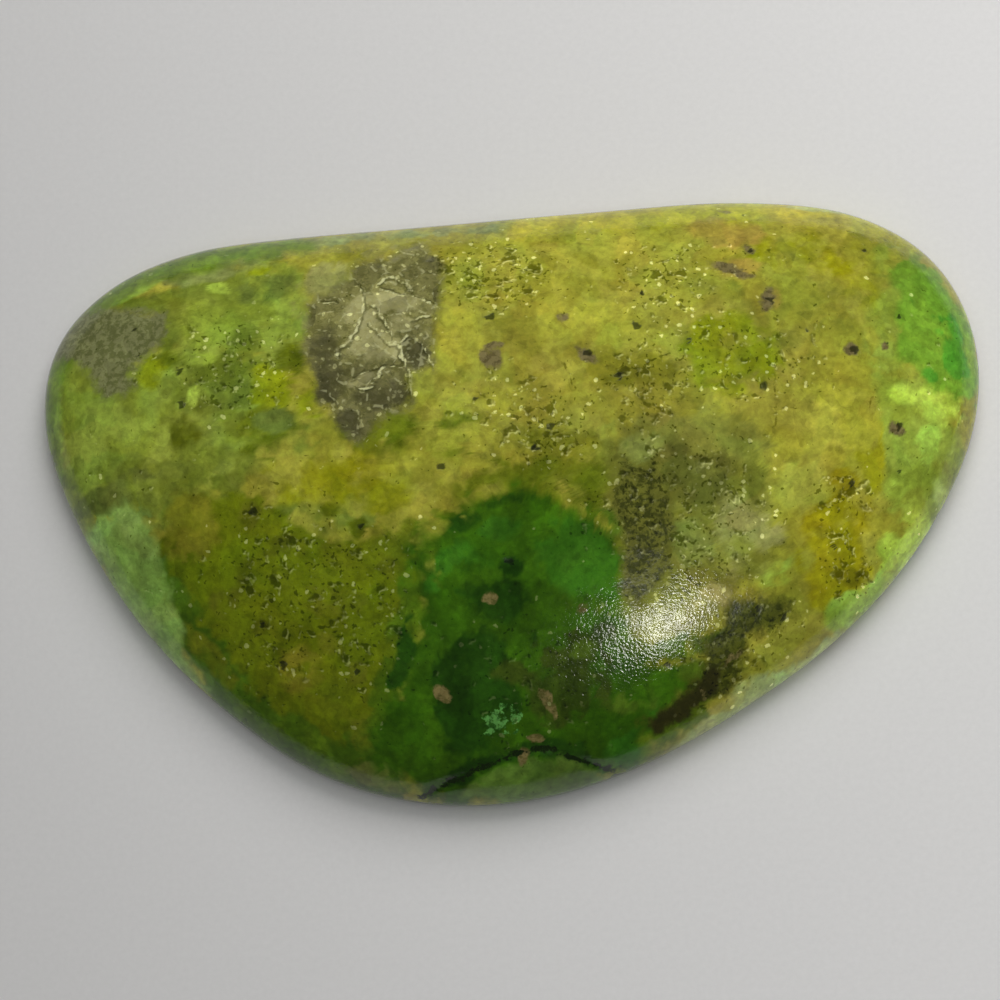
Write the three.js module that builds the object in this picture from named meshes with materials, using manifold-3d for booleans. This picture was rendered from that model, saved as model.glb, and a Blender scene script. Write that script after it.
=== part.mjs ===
// A polished freeform cabochon of chrysocolla: one solid with a domed face, an upright edge and a flat back.
// Millimetres. +X runs along the stone, +Y points to its long straight side, and +Z up from the flat back.
// The origin lies on the flat back, in the middle of the outline's bounding box.
import * as THREE from "three";
import Module from "manifold-3d";
import { mergeVertices } from "three/addons/utils/BufferGeometryUtils.js";

// Driving dimensions
const HEIGHT = 8.0; // flat back to the top of the dome
const EDGE_HEIGHT = 1.3; // flat back to where the dome starts
const BACK_BEVEL = 0.5; // 45 degree bevel round the flat back
const DOME_POWER = 0.55; // under 0.5 the shoulders are squarer, over it the dome is more pointed
const UNEVENNESS = 0.05; // height of the slow waves that grinding by hand leaves
const PATCH_SOFTNESS = 0.55; // width of a worn patch's sloping border, as a share of its half length
const VEIN_RADIUS = 0.17; // hard veins that stand proud in the worn patches
const CRACK_RADIUS = 0.26; // half the width of the crack's mouth
const PIT_SHAPE = [1, 0.85, 0.8]; // a pit's two widths and its depth, as shares of its radius

// The stone's outline seen from above, anticlockwise from its right end
const OUTLINE = [
  [27.5, 4.5],
  [27.6, 9.9],
  [25.3, 14.5],
  [20.7, 17.3],
  [14.0, 18.1],
  [5.0, 17.5],
  [-6.0, 16.5],
  [-13.6, 15.8],
  [-18.9, 15.0],
  [-23.7, 12.9],
  [-27.0, 9.2],
  [-27.6, 4.3],
  [-25.6, -1.3],
  [-21.6, -7.6],
  [-16.9, -12.3],
  [-11.2, -16.2],
  [-5.2, -17.9],
  [1.0, -17.8],
  [7.2, -15.9],
  [14.0, -12.1],
  [20.0, -7.5],
  [24.6, -1.9],
];

// Softer patches that polishing has worn below the rest: an ellipse each, with its depth
const WORN_PATCHES = [
  { x: -7.8, y: 9.6, length: 8.2, width: 8.6, turn: 0, depth: 0.24 },
  { x: -8.0, y: 4.8, length: 5.2, width: 6.4, turn: 0, depth: 0.22 },
  { x: 10.2, y: -1.0, length: 10.5, width: 9.5, turn: 0.3, depth: 0.1 },
  { x: 12.6, y: -8.4, length: 8.0, width: 4.4, turn: 0.6, depth: 0.1 },
];

// Slow waves of the ground face: how fast each turns along x and y in radians per mm, its phase and its share
const WAVES = [
  { alongX: 0.23, alongY: 0.29, phase: 0.8, share: 1 },
  { alongX: 0.41, alongY: -0.33, phase: 0, share: 0.6 },
];

// Harder veins across the worn patch beside the straight side
const VEINS = [
  [[-8.9, 12.4], [-8.4, 10.0], [-9.0, 8.8], [-9.8, 7.4], [-10.8, 6.6], [-11.0, 5.0]],
  [[-8.1, 10.6], [-7.0, 9.1], [-6.6, 8.1], [-6.5, 6.9], [-5.8, 5.6], [-5.3, 4.4]],
  [[-7.9, 12.0], [-6.8, 12.4], [-5.8, 11.7]],
  [[-7.4, 11.6], [-6.0, 11.0], [-4.1, 10.0]],
  [[-6.4, 8.4], [-5.6, 8.5], [-4.9, 7.4], [-4.2, 6.2]],
  [[-6.5, 6.8], [-7.7, 6.2], [-9.0, 5.5], [-8.5, 4.7]],
];

// The crack along the bottom of the face
const CRACK = [
  [-4.8, -17.4],
  [-3.4, -16.6],
  [-1.9, -16.2],
  [-0.6, -15.6],
  [0.6, -15.3],
  [1.9, -15.1],
  [3.1, -15.3],
  [4.5, -15.8],
  [5.8, -16.2],
];

// Open pits in the polished face: x, y and radius
const PITS = [
  [-22.1, 9.2, 0.28],
  [-21.6, 7.5, 0.3],
  [-19.2, 6.4, 0.35],
  [-19.0, 4.4, 0.5],
  [-1.3, 9.5, 0.5],
  [4.3, 7.2, 0.5],
  [7.5, 11.0, 0.3],
  [7.1, 8.9, 0.45],
  [-2.2, 4.4, 0.35],
  [6.0, 5.8, 0.45],
  [2.1, 2.7, 0.45],
  [13.9, 13.9, 0.35],
  [14.9, 10.6, 0.45],
  [19.7, 7.7, 0.5],
  [21.7, 8.2, 0.3],
  [22.5, 9.9, 0.3],
  [22.3, 3.4, 0.4],
  [14.3, 5.3, 0.4],
  [16.9, 8.7, 0.28],
  [10.1, 8.0, 0.35],
  [20.7, 14.2, 0.35],
  [-14.7, -2.0, 0.5],
  [-14.2, -8.3, 0.4],
  [-13.0, -10.5, 0.4],
  [-8.6, -3.0, 0.42],
  [-4.1, 0.4, 0.4],
  [1.2, 1.4, 0.45],
  [-8.8, -11.0, 0.3],
  [-0.2, -5.0, 0.4],
  [22.3, 0.8, 0.3],
  [19.4, -0.1, 0.35],
  [18.4, -3.7, 0.35],
  [13.9, -7.3, 0.32],
  [15.5, -7.7, 0.42],
  [8.7, -10.5, 0.28],
];

// How finely the faceted solid is divided
const DOME_CELLS = 46; // cells along each side of the dome's grid
const RIM_POINTS = 4 * DOME_CELLS;
const EDGE_CROWDING = 0.6; // how far the dome's rows crowd towards its steep edge, from 0 to 1
const OUTLINE_SAMPLES = 300;
const OUTLINE_SMOOTHING = 12; // rounds of averaging that soften the outline's corners
const BAR_STEP = 0.9; // length of the pieces that a vein or the crack is made of
const NOTHING = 1e-9; // smaller than any real length or share here
const MERGE_DISTANCE = 1e-4; // corners closer than this are one corner

const wasm = await Module();
wasm.setup();

// The outline as RIM_POINTS evenly spaced points, centred on its bounding box.
function rimPoints() {
  const knots = OUTLINE.map(([x, y]) => new THREE.Vector3(x, y, 0));
  const through = new THREE.CatmullRomCurve3(knots, true, "centripetal");
  let points = through.getSpacedPoints(OUTLINE_SAMPLES).slice(0, -1);
  for (let pass = 0; pass < OUTLINE_SMOOTHING; pass++) {
    points = points.map((point, i) => {
      const before = points.at(i - 1);
      const after = points[(i + 1) % points.length];
      return point.clone().multiplyScalar(2).add(before).add(after).divideScalar(4);
    });
  }
  const box = new THREE.Box3().setFromPoints(points);
  const middle = box.getCenter(new THREE.Vector3());
  points.forEach((point) => point.sub(middle));
  const smooth = new THREE.CatmullRomCurve3(points, true, "centripetal");
  return smooth.getSpacedPoints(RIM_POINTS).slice(0, -1);
}

// How deep inside the outline a point lies: near the edge its distance from it, further in a smooth mound.
// It is pi over the integral of 1 / r^2 along the outline. On a circle, a dome of power 0.5 is an ellipsoid.
function depthInside(rim, x, y) {
  let integral = 0;
  rim.forEach((from, i) => {
    const to = rim[(i + 1) % rim.length];
    const ax = from.x - x;
    const ay = from.y - y;
    const bx = to.x - x;
    const by = to.y - y;
    const cross = ax * by - ay * bx;
    const dot = ax * bx + ay * by;
    const length = Math.hypot(bx - ax, by - ay);
    integral += Math.abs(cross) < NOTHING ? length / dot : (length * Math.atan2(cross, dot)) / cross;
  });
  return Math.PI / integral;
}

const smoothStep = (share) => share * share * (3 - 2 * share);

// How far the worn patches lie below the polished dome at a point.
function wornDepth(x, y) {
  let deepest = 0;
  for (const patch of WORN_PATCHES) {
    const along = (x - patch.x) * Math.cos(patch.turn) + (y - patch.y) * Math.sin(patch.turn);
    const across = (y - patch.y) * Math.cos(patch.turn) - (x - patch.x) * Math.sin(patch.turn);
    const reach = Math.hypot(along / (patch.length / 2), across / (patch.width / 2));
    const share = THREE.MathUtils.clamp((1 - reach) / PATCH_SOFTNESS + 0.5, 0, 1);
    deepest = Math.max(deepest, patch.depth * smoothStep(share));
  }
  return deepest;
}

// Height of the polished dome at a point, given its depth inside the outline.
function domeHeight(x, y, depth, deepest) {
  const rise = Math.pow(Math.min(depth / deepest, 1), DOME_POWER);
  let wave = 0;
  for (const { alongX, alongY, phase, share } of WAVES) {
    wave += share * Math.sin(alongX * x + alongY * y + phase);
  }
  return EDGE_HEIGHT + (HEIGHT - EDGE_HEIGHT + UNEVENNESS * wave) * rise;
}

// Maps a square onto a disc with equal cell areas, so that the dome's triangles are alike in size.
function squareToDisc(a, b) {
  if (a === 0 && b === 0) return { radius: 0, angle: 0 };
  const wide = Math.abs(a) > Math.abs(b);
  const radius = wide ? a : b;
  const angle = wide ? (Math.PI / 4) * (b / a) : Math.PI / 2 - (Math.PI / 4) * (a / b);
  return radius < 0 ? { radius: -radius, angle: angle + Math.PI } : { radius, angle };
}

// Places of the dome's grid corners, row by row; those on the grid's border lie on the rim.
function domePlan(rim) {
  const plan = [];
  for (let row = 0; row <= DOME_CELLS; row++) {
    for (let column = 0; column <= DOME_CELLS; column++) {
      const { radius, angle } = squareToDisc((2 * column) / DOME_CELLS - 1, (2 * row) / DOME_CELLS - 1);
      const turn = THREE.MathUtils.euclideanModulo(angle / (2 * Math.PI), 1);
      const at = turn * RIM_POINTS + NOTHING;
      const before = rim[Math.floor(at) % RIM_POINTS];
      const after = rim[(Math.floor(at) + 1) % RIM_POINTS];
      const onRim = before.clone().lerp(after, at % 1);
      const reach = THREE.MathUtils.lerp(radius, Math.sin((radius * Math.PI) / 2), EDGE_CROWDING);
      plan.push({ x: onRim.x * reach, y: onRim.y * reach, onRim: radius > 1 - NOTHING });
    }
  }
  return plan;
}

// The grid corners round the dome's border, anticlockwise.
function borderOfGrid() {
  const index = (column, row) => row * (DOME_CELLS + 1) + column;
  const border = [];
  for (let i = 0; i < DOME_CELLS; i++) border.push(index(DOME_CELLS, i));
  for (let i = 0; i < DOME_CELLS; i++) border.push(index(DOME_CELLS - i, DOME_CELLS));
  for (let i = 0; i < DOME_CELLS; i++) border.push(index(0, DOME_CELLS - i));
  for (let i = 0; i < DOME_CELLS; i++) border.push(index(i, 0));
  return border;
}

// The stone before its pits, veins and crack: dome, upright edge, bevel and flat back as one closed mesh.
function bareStone(rim) {
  const plan = domePlan(rim);
  const depths = plan.map(({ x, y, onRim }) => (onRim ? 0 : depthInside(rim, x, y)));
  const deepest = Math.max(...depths);
  const positions = plan.flatMap(({ x, y }, i) => {
    const height = domeHeight(x, y, depths[i], deepest) - wornDepth(x, y);
    return [x, y, depths[i] === 0 ? EDGE_HEIGHT : height];
  });

  const triangles = [];
  const quad = (a, b, c, d) => triangles.push(a, b, c, a, c, d);
  for (let row = 0; row < DOME_CELLS; row++) {
    for (let column = 0; column < DOME_CELLS; column++) {
      const corner = row * (DOME_CELLS + 1) + column;
      quad(corner, corner + 1, corner + DOME_CELLS + 2, corner + DOME_CELLS + 1);
    }
  }

  // Each ring below the rim is the border again, lower and drawn in
  let above = borderOfGrid();
  const border = above;
  for (const { z, drawnIn } of [
    { z: BACK_BEVEL, drawnIn: 0 },
    { z: 0, drawnIn: BACK_BEVEL },
  ]) {
    const ring = border.map((corner, i) => {
      const before = plan[border.at(i - 1)];
      const after = plan[border[(i + 1) % border.length]];
      const outward = new THREE.Vector2(after.y - before.y, before.x - after.x).normalize();
      positions.push(plan[corner].x - outward.x * drawnIn, plan[corner].y - outward.y * drawnIn, z);
      return positions.length / 3 - 1;
    });
    ring.forEach((corner, i) => {
      const next = (i + 1) % ring.length;
      quad(corner, ring[next], above[next], above[i]);
    });
    above = ring;
  }
  positions.push(0, 0, 0);
  const centre = positions.length / 3 - 1;
  above.forEach((corner, i) => triangles.push(centre, above[(i + 1) % above.length], corner));

  const geometry = new THREE.BufferGeometry();
  geometry.setAttribute("position", new THREE.Float32BufferAttribute(positions, 3));
  geometry.setIndex(triangles);
  return { geometry, deepest };
}

// A closed three.js geometry as a manifold-3d solid.
function solidFrom(geometry) {
  const bare = new THREE.BufferGeometry();
  const loose = geometry.index ? geometry.toNonIndexed() : geometry;
  bare.setAttribute("position", loose.getAttribute("position"));
  const merged = mergeVertices(bare, MERGE_DISTANCE);
  return new wasm.Manifold(
    new wasm.Mesh({
      numProp: 3,
      vertProperties: new Float32Array(merged.attributes.position.array),
      triVerts: new Uint32Array(merged.index.array),
    }),
  );
}

// A round bar along a path given by its points, to leave a vein or cut a crack.
function barAlong(points, radius, sides) {
  const path = new THREE.CatmullRomCurve3(points, false, "centripetal");
  const section = new THREE.Shape();
  for (let side = 0; side < sides; side++) {
    const angle = (side / sides) * 2 * Math.PI;
    const corner = [radius * Math.cos(angle), radius * Math.sin(angle)];
    if (side === 0) section.moveTo(...corner);
    else section.lineTo(...corner);
  }
  const steps = Math.ceil(path.getLength() / BAR_STEP);
  return solidFrom(new THREE.ExtrudeGeometry(section, { steps, extrudePath: path, bevelEnabled: false }));
}

// A rough little pit: a flattened lump with 20 flat sides, sunk halfway into the face.
function pitAt(place, radius, turn) {
  const pit = new THREE.IcosahedronGeometry(radius, 0);
  pit.rotateX(turn);
  pit.rotateZ(2 * turn);
  pit.scale(...PIT_SHAPE);
  pit.translate(place.x, place.y, place.z);
  return solidFrom(pit);
}

function chrysocollaStone() {
  const rim = rimPoints();
  const { geometry, deepest } = bareStone(rim);
  const belowDome = (x, y, below) =>
    new THREE.Vector3(x, y, domeHeight(x, y, depthInside(rim, x, y), deepest) - below);
  let stone = solidFrom(geometry);
  for (const vein of VEINS) {
    const path = vein.map(([x, y]) => belowDome(x, y, VEIN_RADIUS));
    stone = stone.add(barAlong(path, VEIN_RADIUS, 5));
  }
  const crackPath = CRACK.map(([x, y]) => belowDome(x, y, 0));
  stone = stone.subtract(barAlong(crackPath, CRACK_RADIUS, 6));
  PITS.forEach(([x, y, radius], i) => {
    const place = belowDome(x, y, wornDepth(x, y));
    stone = stone.subtract(pitAt(place, radius, i));
  });
  const made = stone.getMesh();
  const carved = new THREE.BufferGeometry();
  carved.setAttribute("position", new THREE.BufferAttribute(made.vertProperties, made.numProp));
  carved.setIndex(new THREE.BufferAttribute(made.triVerts, 1));
  carved.computeVertexNormals();
  const material = new THREE.MeshStandardMaterial({ color: 0x7f8c2a, roughness: 0.28, metalness: 0 });
  const mesh = new THREE.Mesh(carved, material);
  mesh.name = "chrysocolla_stone";
  return mesh;
}

const part = new THREE.Group();
part.add(chrysocollaStone());

export default part;
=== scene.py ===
"""A polished freeform cabochon of chrysocolla, seen from above on a pale card.

One closed mesh stands for the whole stone. Its outline is read from the frame, and its dome follows the
same formula as the solid. Pits, veins, the crack and rough patches are shaped in the mesh. The minerals are
lists of patches. Their colours and fields are stored on the mesh's points, and the material
adds the crisp borders, the grain and the polish.
Lengths here are millimetres, and tenths of one in the minerals' lists, until a mesh, lamp or camera is made.
+Y is up in the picture. Some bands and clouds in the colour, and the glints and pit shade in the grain,
are painted light and shade.
"""

import math

import bpy
import numpy as np
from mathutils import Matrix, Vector


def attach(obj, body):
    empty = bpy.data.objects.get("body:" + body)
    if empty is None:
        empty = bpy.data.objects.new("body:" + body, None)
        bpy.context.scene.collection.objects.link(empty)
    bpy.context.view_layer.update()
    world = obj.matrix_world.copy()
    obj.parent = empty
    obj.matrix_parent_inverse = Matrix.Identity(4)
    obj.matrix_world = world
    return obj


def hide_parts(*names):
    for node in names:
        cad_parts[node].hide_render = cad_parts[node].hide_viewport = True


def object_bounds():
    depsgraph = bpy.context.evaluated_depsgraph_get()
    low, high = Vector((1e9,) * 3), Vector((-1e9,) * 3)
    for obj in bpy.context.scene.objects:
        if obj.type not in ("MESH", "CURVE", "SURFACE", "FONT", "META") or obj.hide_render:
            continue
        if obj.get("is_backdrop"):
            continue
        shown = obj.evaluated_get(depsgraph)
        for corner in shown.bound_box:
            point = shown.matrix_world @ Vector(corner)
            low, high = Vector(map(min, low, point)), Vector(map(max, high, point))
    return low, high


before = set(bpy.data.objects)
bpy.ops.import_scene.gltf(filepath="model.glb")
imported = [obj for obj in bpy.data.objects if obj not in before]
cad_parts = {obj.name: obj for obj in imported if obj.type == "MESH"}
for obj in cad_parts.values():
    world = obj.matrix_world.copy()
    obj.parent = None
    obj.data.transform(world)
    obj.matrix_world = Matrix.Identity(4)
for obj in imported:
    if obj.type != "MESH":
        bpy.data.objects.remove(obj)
cad_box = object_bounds()

MM = 0.001
NODE = "chrysocolla_stone"

# The stone's form, as in the solid
HEIGHT = 8.0
EDGE_HEIGHT = 1.3
BACK_BEVEL = 0.5
DOME_POWER = 0.55
UNEVENNESS = 0.05
WAVES = [(0.23, 0.29, 0.8, 1.0), (0.41, -0.33, 0.0, 0.6)]  # along x, along y, phase, share

# The mesh: cells across the face, and a quarter as many across the back
FACE_CELLS = 288
BACK_SHARE = 4
BACK_CELLS = FACE_CELLS // BACK_SHARE
RIM_POINTS = 4 * FACE_CELLS
EDGE_CROWDING = 0.7
# The edge below the dome, ring by ring: how far it is drawn in, and its height
EDGE_RINGS = [(0.0, 1.0), (0.0, 0.7), (0.02, 0.53), (0.1, 0.42), (0.42, 0.1), (0.52, 0.02), (0.64, 0.0)]
BACK_MARGIN = 0.4  # from the last ring to the back's grid
EDGE_FADE = 0.5  # relief fades out this near the rim

# The relief on the dome
VEIN_REACH = 0.26  # how far a vein's ridge reaches to either side
VEIN_RISE = 0.035
CRACK_REACH = 0.3
CRACK_DEPTH = 0.12
PIT_DEPTH = 0.35  # for each millimetre of a pit's radius
CRACKLED_DEPTH = 0.1
CRACKLED_GRAIN = 0.05
UMBER_DEPTH = 0.03
UMBER_GRAIN = 0.012
POLISH_WAVES = 0.01

# How the minerals' borders and tones wander
WARPS = [(0.22, 2.3), (0.15, 0.9), (0.1, 0.4)]  # reach and size of each sideways shift
SWIRL = 0.8  # reach of the shift of the tones
JAG = 0.14  # reach of the veins' short bends
CLOUDING = [0.1, 0.07, 0.06, 0.06]  # share of light: lumps, small lumps, plates, small plates
LEANING = [0.05, 0.04]  # share of colour between green and ochre: lumps, plates
# How much lighter the painted light clouds make the colour
PAINTED_LIGHT_SHARE = 0.4
DIP = (1.5, 0.9)  # how far the minerals' borders run sideways for each millimetre down the edge

# The photograph's view, with 17 pixels to the millimetre at the target
PICTURE_WIDTH = 1000
SENSOR_WIDTH = 36.0
CAMERA_ELEVATION = 78.0
CAMERA_DISTANCE = 160.0
CAMERA_SCALE = 17.0
CAMERA_TARGET = (-0.74, -0.15, 1.3)
CARD_SIZE = 3000.0
LIGHT = 0.8  # how bright a white card would look in this light

# Cracks and veins, as points along each. A vein runs with its shaded side on its right.
VEINS = [
    [(-10.1, 7.0), (-9.5, 8.0), (-9.0, 8.9), (-8.7, 9.5), (-8.6, 10.5), (-8.9, 11.8)],
    [(-8.2, 10.4), (-7.7, 9.7), (-7.2, 9.1), (-6.8, 8.4), (-6.6, 7.7), (-6.4, 7.0), (-6.2, 6.4),
     (-5.8, 5.7), (-5.7, 4.6)],
    [(-6.5, 7.9), (-6.3, 8.2), (-6.0, 8.4), (-5.7, 8.2), (-5.4, 7.7), (-5.0, 7.0), (-4.5, 6.3)],
    [(-4.3, 10.0), (-4.8, 10.3), (-5.4, 10.6), (-5.9, 11.0), (-6.5, 11.1), (-7.1, 11.3), (-7.7, 11.5)],
    [(-7.8, 11.9), (-7.5, 12.2), (-6.9, 12.4), (-6.3, 12.1), (-6.0, 11.7), (-5.7, 11.4)],
    [(-6.4, 6.3), (-7.0, 6.4), (-7.6, 6.1), (-8.3, 6.1), (-8.8, 5.8), (-9.1, 5.4)],
    [(-9.0, 5.3), (-8.6, 4.9), (-8.0, 5.1), (-7.6, 5.9)],
    [(-10.2, 10.6), (-10.7, 10.6), (-11.2, 10.8)],
    [(-11.1, 5.0), (-11.1, 5.9), (-11.0, 6.5)],
    [(-8.2, 9.0), (-7.3, 8.1), (-6.7, 7.7)],
    [(-5.8, 9.3), (-5.3, 9.4), (-4.9, 9.5)],
]
CRACK = [
    (-5.3, -17.6), (-4.1, -17.1), (-3.1, -16.8), (-2.2, -16.4), (-1.3, -16.0), (-0.5, -15.6), (0.2, -15.4),
    (1.0, -15.3), (2.1, -15.1), (2.7, -15.3), (3.4, -15.7), (4.4, -15.9), (5.3, -16.1), (6.2, -16.3),
]

# Thin dark lines in the polish
HAIRLINES = [
    [(15.2, 9.8), (15.2, 7.5), (14.9, 5.0), (15.0, 2.7)],
    [(2.8, 6.7), (3.2, 5.8), (3.8, 4.6)],
    [(20.8, 5.0), (20.7, 3.9)],
]

# Open pits: x, y and radius
PITS = [
    (-22.1, 9.2, 0.15), (-21.6, 7.5, 0.17), (-19.2, 6.4, 0.19), (-19.0, 4.4, 0.28), (-1.3, 9.5, 0.28),
    (4.3, 7.2, 0.28), (7.5, 11.0, 0.17), (7.1, 8.9, 0.25), (-2.2, 4.4, 0.19), (6.0, 5.8, 0.25),
    (2.1, 2.7, 0.25), (13.9, 13.9, 0.19), (14.9, 10.6, 0.25), (19.7, 7.7, 0.28), (21.7, 8.2, 0.17),
    (22.5, 9.9, 0.17), (22.3, 3.4, 0.22), (14.3, 5.3, 0.22), (16.9, 8.7, 0.15), (10.1, 8.0, 0.19),
    (20.7, 14.2, 0.19), (-14.7, -2.0, 0.28), (-14.2, -8.3, 0.22), (-13.0, -10.5, 0.22), (-8.6, -3.0, 0.23),
    (-4.1, 0.4, 0.22), (1.2, 1.4, 0.25), (-8.8, -11.0, 0.17), (-0.2, -5.0, 0.22), (22.3, 0.8, 0.17),
    (19.4, -0.1, 0.19), (18.4, -3.7, 0.19), (13.9, -7.3, 0.18), (15.5, -7.7, 0.23), (8.7, -10.5, 0.15),
]

# A cloud is a soft ellipse: x, y, half length and half width, and then its strength where that isn't 1,
# and its turn in degrees where it has one.

# Where small pits crowd, as clouds
PITTED = [
    (-1.0, 12.3, 3.6, 2.3), (8.6, 11.6, 2.6, 2.2, 0.9), (1.8, 2.6, 3.0, 2.2),
    (-16.0, 6.5, 3.4, 2.8, 0.8, -20), (19.2, -0.6, 2.0, 1.5), (19.2, -4.6, 1.7, 2.2),
    (9.5, -2.5, 5.0, 4.5, 0.9, 20), (13.0, 7.0, 5.0, 3.0, 0.7), (-12.5, -6.5, 4.5, 5.0, 0.8, 20),
    (-8.0, -8.0, 3.0, 5.0, 0.6), (7.6, 5.2, 2.4, 3.0, 0.8), (12.6, -9.5, 4.0, 2.2, 0.8, 35),
    (0.5, -11.5, 3.5, 3.5, 0.5), (-1.0, 4.0, 5.0, 2.0, 0.4), (10.5, 13.0, 4.0, 2.0, 0.5),
]

# Painted light: clouds where the colour is made lighter to stand in for brighter light, the largest on the
# right half
PAINTED_LIGHT_CLOUDS = [
    (24.2, 0.5, 6.5, 8.8, 0.85), (10.6, -5.3, 5.3, 7.1, 0.75), (19.9, 3.5, 3.5, 3.5, 0.4),
    (3.0, 12.5, 5.5, 3.0, 0.45), (-21.3, 2.4, 1.5, 1.5, 0.6), (16.2, -10.3, 3.8, 1.2, 0.9, 32),
    (12.8, 12.6, 1.6, 1.2, 0.5), (2.4, -2.4, 1.2, 0.9, 0.7), (-3.9, -5.4, 1.0, 1.4, 0.8),
    (-9.5, -6.9, 2.0, 1.5, 0.8), (8.3, 7.6, 1.2, 1.2, 0.5), (-3.6, 3.9, 1.2, 1.0, 0.6),
    (5.6, 8.7, 1.2, 1.0, 0.5), (27.2, 5.0, 0.8, 1.5, 0.5),
]


def rgb(red, green, blue):
    """The share of light that a surface gives back, from its look on a screen (0 to 255) in this light."""
    shares = [value / 255 for value in (red, green, blue)]
    shares = [s / 12.92 if s <= 0.04045 else ((s + 0.055) / 1.055) ** 2.4 for s in shares]
    return tuple(s / LIGHT for s in shares) + (1.0,)


def mineral(name, shade, other_shade, soft, wobble, width=0.0, **place):
    """A layer of mineral, or a rim band of painted light or shade, in two shades, with how soft and how
    ragged its border is, and where it lies.

    Its clouds, outline or path come in tenths of a millimetre.
    """
    layer = dict(name=name, shades=(rgb(*shade), rgb(*other_shade)), soft=soft, wobble=wobble, width=width)
    for kind, rows in place.items():
        layer[kind] = [tuple(value / 10 for value in row[:4]) + row[4:] for row in rows]
    return layer


WORN = ("umber", "low_umber", "crackled")  # minerals too rough to take a high polish
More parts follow.
